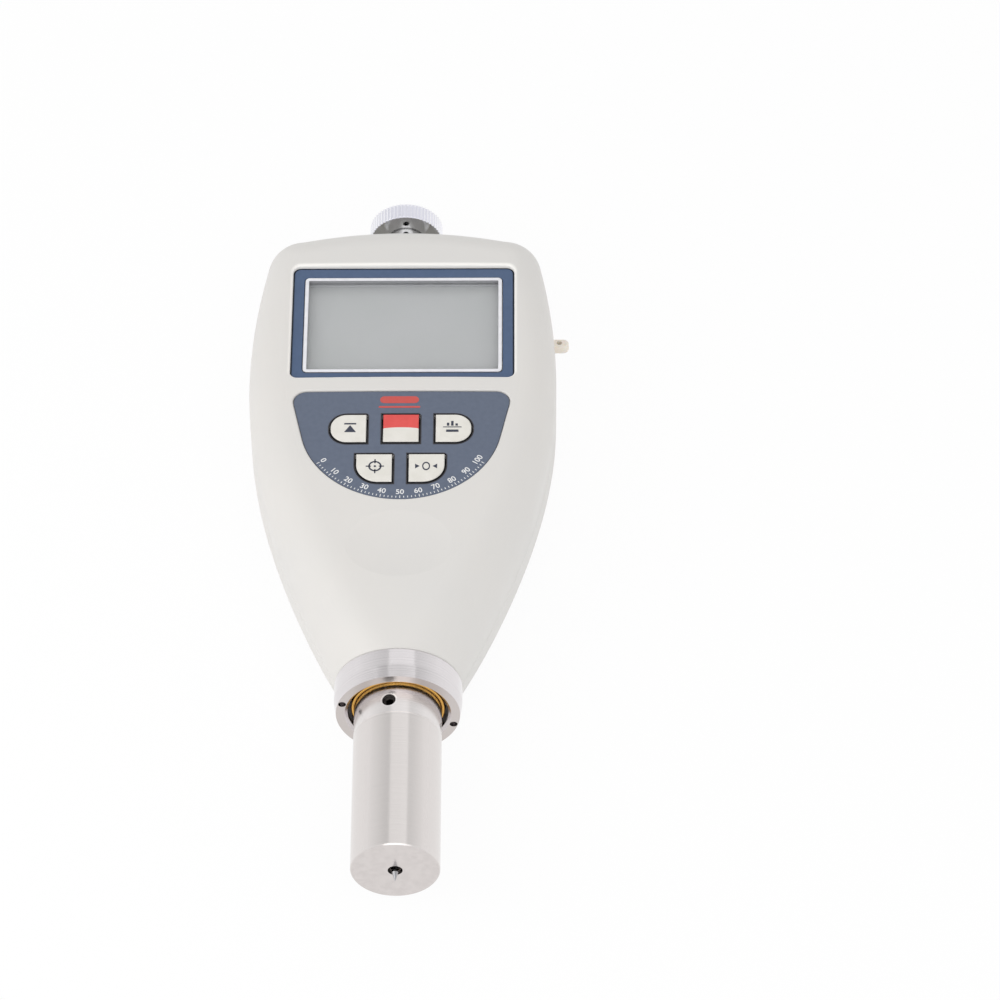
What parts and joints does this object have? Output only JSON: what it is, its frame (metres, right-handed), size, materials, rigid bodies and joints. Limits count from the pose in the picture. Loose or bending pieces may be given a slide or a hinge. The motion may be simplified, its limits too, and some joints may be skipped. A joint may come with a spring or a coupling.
{
  "type": "hand-held hardness tester",
  "caption": "Hand-held digital durometer: pear-shaped case with display and keypad, steel barrel with spring-loaded needle indenter, knurled stand knob.",
  "frame": {"origin": "on the flat back, half way along the case, on the plane of symmetry", "axes": "+X to the right of the display, +Y from the probe to the knob, +Z out of the display; lying on its back"},
  "size_m": [0.0684, 0.1765, 0.028],
  "materials": {
    "case_plastic": "fine satin texture, pale warm grey",
    "label_blue": "satin slate-blue film",
    "white_plastic": "smooth white",
    "red_plastic": "smooth red and white, two-colour",
    "clear_window": "clear polished lens",
    "lcd_glass": "grey-green liquid crystal glass",
    "black_plastic": "moulded black",
    "board_green": "solder-masked board",
    "chrome": "bright plated, straight knurl",
    "steel": "turned and polished",
    "hard_steel": "hardened and ground",
    "collar_alloy": "satin anodised",
    "brass": "turned",
    "cream_rubber": "soft cream",
    "copper_wire": "enamelled copper winding",
    "zebra_rubber": "elastomer strip"
  },
  "bodies": {
    "housing": {"front_shell": "case_plastic", "back_shell": "case_plastic", "display_bezel": "label_blue", "display_trim": "white_plastic", "display_window": "clear_window", "lcd_panel": "lcd_glass", "lcd_holder": "black_plastic", "lcd_connectors": "zebra_rubber", "keypad_overlay": "label_blue", "main_board": "board_green", "board_chips": "black_plastic", "key_switches": "black_plastic", "board_screws": "steel", "case_screws": "steel", "battery_cells": "steel", "battery_contacts": "steel", "data_jack": "black_plastic", "stand_bush": "brass", "clamp_collar": "collar_alloy", "brass_ring": "brass", "probe_sleeve": "steel", "sleeve_screw": "hard_steel", "retaining_nut": "brass", "presser_foot": "steel", "measuring_spring": "steel", "spring_adjuster": "brass", "guide_bush": "brass", "rear_bush": "brass", "sensor_former": "black_plastic", "sensor_windings": "copper_wire"},
    "indenter_unit": {"indenter": "hard_steel", "plunger": "steel", "sensor_core": "hard_steel"},
    "washer_body": {"knob_washer": "steel"},
    "knob_body": {"stand_knob": "chrome"},
    "door_body": {"battery_door": "case_plastic"},
    "plug_body": {"dust_plug": "cream_rubber"},
    "key_peak_body": {"key_peak": "white_plastic"},
    "key_power_body": {"key_power": "red_plastic"},
    "key_mean_body": {"key_mean": "white_plastic"},
    "key_calibrate_body": {"key_calibrate": "white_plastic"},
    "key_zero_body": {"key_zero": "white_plastic"}
  },
  "joints": [
    {"name": "indenter_press", "type": "slide", "parent": "housing", "child": "indenter_unit", "axis": [0, 1, 0], "range_m": [0, 0.0025], "stiffness_N_per_m": 17780, "deforming": ["measuring_spring"]},
    {"name": "key_peak_press", "type": "slide", "parent": "housing", "child": "key_peak_body", "axis": [0, 0, -1], "range_m": [0, 0.0006], "stiffness_N_per_m": 2500},
    {"name": "key_power_press", "type": "slide", "parent": "housing", "child": "key_power_body", "axis": [0, 0, -1], "range_m": [0, 0.0006], "stiffness_N_per_m": 2500},
    {"name": "key_mean_press", "type": "slide", "parent": "housing", "child": "key_mean_body", "axis": [0, 0, -1], "range_m": [0, 0.0006], "stiffness_N_per_m": 2500},
    {"name": "key_calibrate_press", "type": "slide", "parent": "housing", "child": "key_calibrate_body", "axis": [0, 0, -1], "range_m": [0, 0.0006], "stiffness_N_per_m": 2500},
    {"name": "key_zero_press", "type": "slide", "parent": "housing", "child": "key_zero_body", "axis": [0, 0, -1], "range_m": [0, 0.0006], "stiffness_N_per_m": 2500},
    {"name": "knob_rise", "type": "slide", "parent": "housing", "child": "washer_body", "axis": [0, 1, 0], "range_m": [0, 0.003]},
    {"name": "knob_turn", "type": "hinge", "parent": "washer_body", "child": "knob_body", "pos_m": [0, 0.0587, 0.014], "axis": [0, 1, 0], "range_deg": [0, 1080]},
    {"name": "door_lift", "type": "slide", "parent": "housing", "child": "door_body", "axis": [0, 0, -1], "range_m": [0, 0.02]},
    {"name": "plug_pull", "type": "slide", "parent": "housing", "child": "plug_body", "axis": [1, 0, 0], "range_m": [0, 0.012]}
  ],
  "couplings": [
    {"joint": "knob_rise", "follows": "knob_turn", "m_per_rad": 0.00015915}
  ]
}
